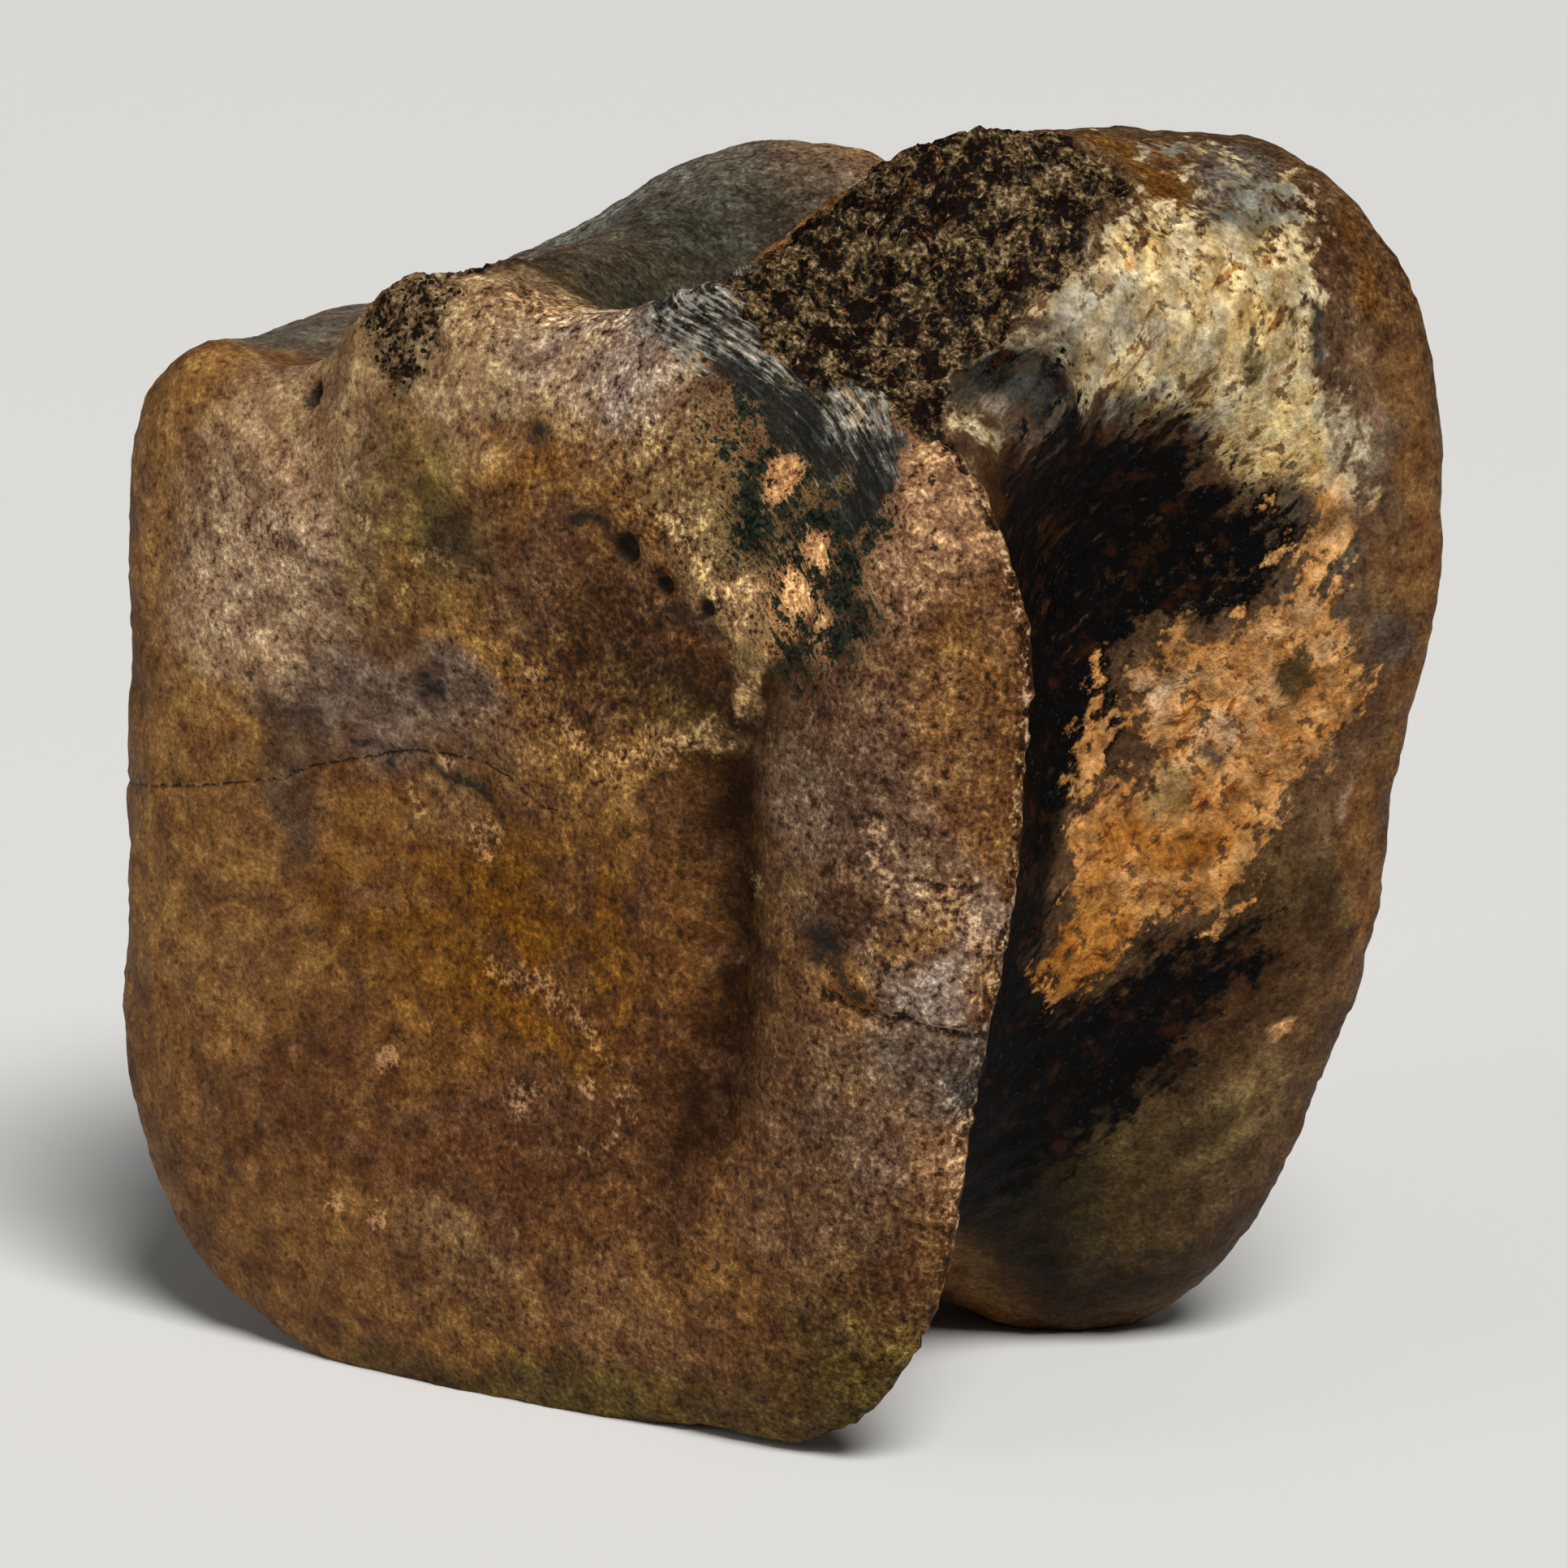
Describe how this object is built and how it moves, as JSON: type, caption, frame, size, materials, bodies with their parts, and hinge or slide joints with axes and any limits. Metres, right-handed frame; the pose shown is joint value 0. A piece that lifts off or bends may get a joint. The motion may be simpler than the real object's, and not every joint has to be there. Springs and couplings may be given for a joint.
{
  "type": "fossil vertebra",
  "caption": "Spool-shaped fossil tail vertebra with two smooth joint faces, a waisted body and broken stumps of its neural arch beside an open canal groove",
  "frame": {"origin": "middle of the bounding box, on the floor that the bone stands on", "axes": "+X is the bone's right side as seen from its smooth near face, +Y runs along the bone from the near face to the far face, +Z is the bone's upper side, where the neural arch was"},
  "size_m": [0.106, 0.0614, 0.1034],
  "materials": {
    "fossil_bone": "mineralised bone with a dull natural polish on the joint faces and rough spongy bone where the arch broke off"
  },
  "bodies": {
    "root": {"vertebra": "fossil_bone"}
  },
  "joints": []
}
